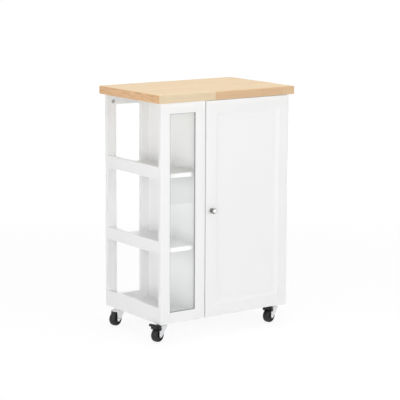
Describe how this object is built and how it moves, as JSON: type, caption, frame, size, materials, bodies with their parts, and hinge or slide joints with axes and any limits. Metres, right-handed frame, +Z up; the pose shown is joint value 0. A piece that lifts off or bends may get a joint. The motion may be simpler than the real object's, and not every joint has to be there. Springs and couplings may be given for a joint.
{
  "type": "kitchen cart",
  "caption": "Kitchen cart on swivel casters with foot brakes: wood worktop on a white body with an open shelf column, guard rails and a clear front pane beside a cupboard with a moulded door.",
  "frame": {"origin": "on the floor, under the middle of the worktop", "axes": "+Z up, -Y out of the front with the door and the pane, +X along the front to the right"},
  "size_m": [0.6102, 0.4105, 0.9],
  "materials": {
    "top_wood": "oiled butcher block, satin",
    "white_board": "white painted board, satin",
    "clear_pane": "clear, polished",
    "dowel_wood": "plain beech",
    "zinc_fixing": "zinc plated",
    "hinge_nickel": "nickel plated",
    "knob_metal": "satin nickel",
    "caster_steel": "zinc plated pressed steel",
    "wheel_black": "black moulded, satin",
    "brake_black": "black moulded, matte",
    "catch_plastic": "white moulded"
  },
  "bodies": {
    "cart": {"worktop": "top_wood", "front_stile_left": "white_board", "front_stile_right": "white_board", "front_rail_top": "white_board", "front_rail_bottom": "white_board", "window_pane": "clear_pane", "pane_clips": "zinc_fixing", "small_screws": "zinc_fixing", "back_stile_left": "white_board", "back_stile_right": "white_board", "back_rail_top": "white_board", "back_rail_bottom": "white_board", "divider_panel": "white_board", "right_side_panel": "white_board", "cupboard_back": "white_board", "cupboard_floor": "white_board", "cupboard_shelf": "white_board", "shelf_pins": "zinc_fixing", "stretcher_front": "white_board", "stretcher_back": "white_board", "column_shelf_top": "white_board", "column_shelf_middle": "white_board", "column_shelf_bottom": "white_board", "guard_rail_top": "white_board", "guard_rail_middle": "white_board", "guard_rail_bottom": "white_board", "wood_dowels": "dowel_wood", "cam_locks": "zinc_fixing", "cam_bolts": "zinc_fixing", "shelf_screws": "zinc_fixing", "caster_screws": "caster_steel", "hinge_plates": "hinge_nickel", "hinge_arms": "hinge_nickel", "catch_magnet": "catch_plastic", "caster_plates": "caster_steel", "caster_kingpins": "caster_steel", "caster_balls": "caster_steel"},
    "door": {"door_panel": "white_board", "door_knob": "knob_metal", "knob_screw": "knob_metal", "hinge_cups": "hinge_nickel", "door_screws": "zinc_fixing", "catch_strike": "zinc_fixing"},
    "hinge_links": {"hinge_links": "hinge_nickel"},
    "caster_front_left": {"caster_fork_front_left": "caster_steel", "caster_axle_front_left": "caster_steel", "brake_pin_front_left": "caster_steel"},
    "wheel_front_left": {"caster_wheel_front_left": "wheel_black"},
    "brake_front_left": {"brake_pedal_front_left": "brake_black"},
    "caster_front_right": {"caster_fork_front_right": "caster_steel", "caster_axle_front_right": "caster_steel", "brake_pin_front_right": "caster_steel"},
    "wheel_front_right": {"caster_wheel_front_right": "wheel_black"},
    "brake_front_right": {"brake_pedal_front_right": "brake_black"},
    "caster_back_left": {"caster_fork_back_left": "caster_steel", "caster_axle_back_left": "caster_steel"},
    "wheel_back_left": {"caster_wheel_back_left": "wheel_black"},
    "caster_back_right": {"caster_fork_back_right": "caster_steel", "caster_axle_back_right": "caster_steel"},
    "wheel_back_right": {"caster_wheel_back_right": "wheel_black"}
  },
  "joints": [
    {"name": "door_hinge", "type": "hinge", "parent": "cart", "child": "door", "pos_m": [0.281, -0.1865, 0.469], "axis": [0, 0, 1], "range_deg": [0, 105]},
    {"name": "hinge_link_pivot", "type": "hinge", "parent": "cart", "child": "hinge_links", "pos_m": [0.2635, -0.1675, 0.469], "axis": [0, 0, 1], "range_deg": [0, 53]},
    {"name": "caster_swivel_front_left", "type": "hinge", "parent": "cart", "child": "caster_front_left", "pos_m": [-0.254, -0.142, 0.0628], "axis": [0, 0, 1], "continuous": true},
    {"name": "wheel_spin_front_left", "type": "hinge", "parent": "caster_front_left", "child": "wheel_front_left", "pos_m": [-0.27492, -0.1488, 0.0254], "axis": [-0.309, 0.9511, 0], "continuous": true},
    {"name": "brake_press_front_left", "type": "hinge", "parent": "caster_front_left", "child": "brake_front_left", "pos_m": [-0.27587, -0.14911, 0.0555], "axis": [0.309, -0.9511, 0], "range_deg": [0, 16]},
    {"name": "caster_swivel_front_right", "type": "hinge", "parent": "cart", "child": "caster_front_right", "pos_m": [0.254, -0.142, 0.0628], "axis": [0, 0, 1], "continuous": true},
    {"name": "wheel_spin_front_right", "type": "hinge", "parent": "caster_front_right", "child": "wheel_front_right", "pos_m": [0.23308, -0.1488, 0.0254], "axis": [-0.309, 0.9511, 0], "continuous": true},
    {"name": "brake_press_front_right", "type": "hinge", "parent": "caster_front_right", "child": "brake_front_right", "pos_m": [0.23213, -0.14911, 0.0555], "axis": [0.309, -0.9511, 0], "range_deg": [0, 16]},
    {"name": "caster_swivel_back_left", "type": "hinge", "parent": "cart", "child": "caster_back_left", "pos_m": [-0.254, 0.142, 0.0628], "axis": [0, 0, 1], "continuous": true},
    {"name": "wheel_spin_back_left", "type": "hinge", "parent": "caster_back_left", "child": "wheel_back_left", "pos_m": [-0.27492, 0.1352, 0.0254], "axis": [-0.309, 0.9511, 0], "continuous": true},
    {"name": "caster_swivel_back_right", "type": "hinge", "parent": "cart", "child": "caster_back_right", "pos_m": [0.254, 0.142, 0.0628], "axis": [0, 0, 1], "continuous": true},
    {"name": "wheel_spin_back_right", "type": "hinge", "parent": "caster_back_right", "child": "wheel_back_right", "pos_m": [0.23308, 0.1352, 0.0254], "axis": [-0.309, 0.9511, 0], "continuous": true}
  ],
  "couplings": [
    {"joint": "hinge_link_pivot", "follows": "door_hinge", "ratio": 0.5}
  ]
}
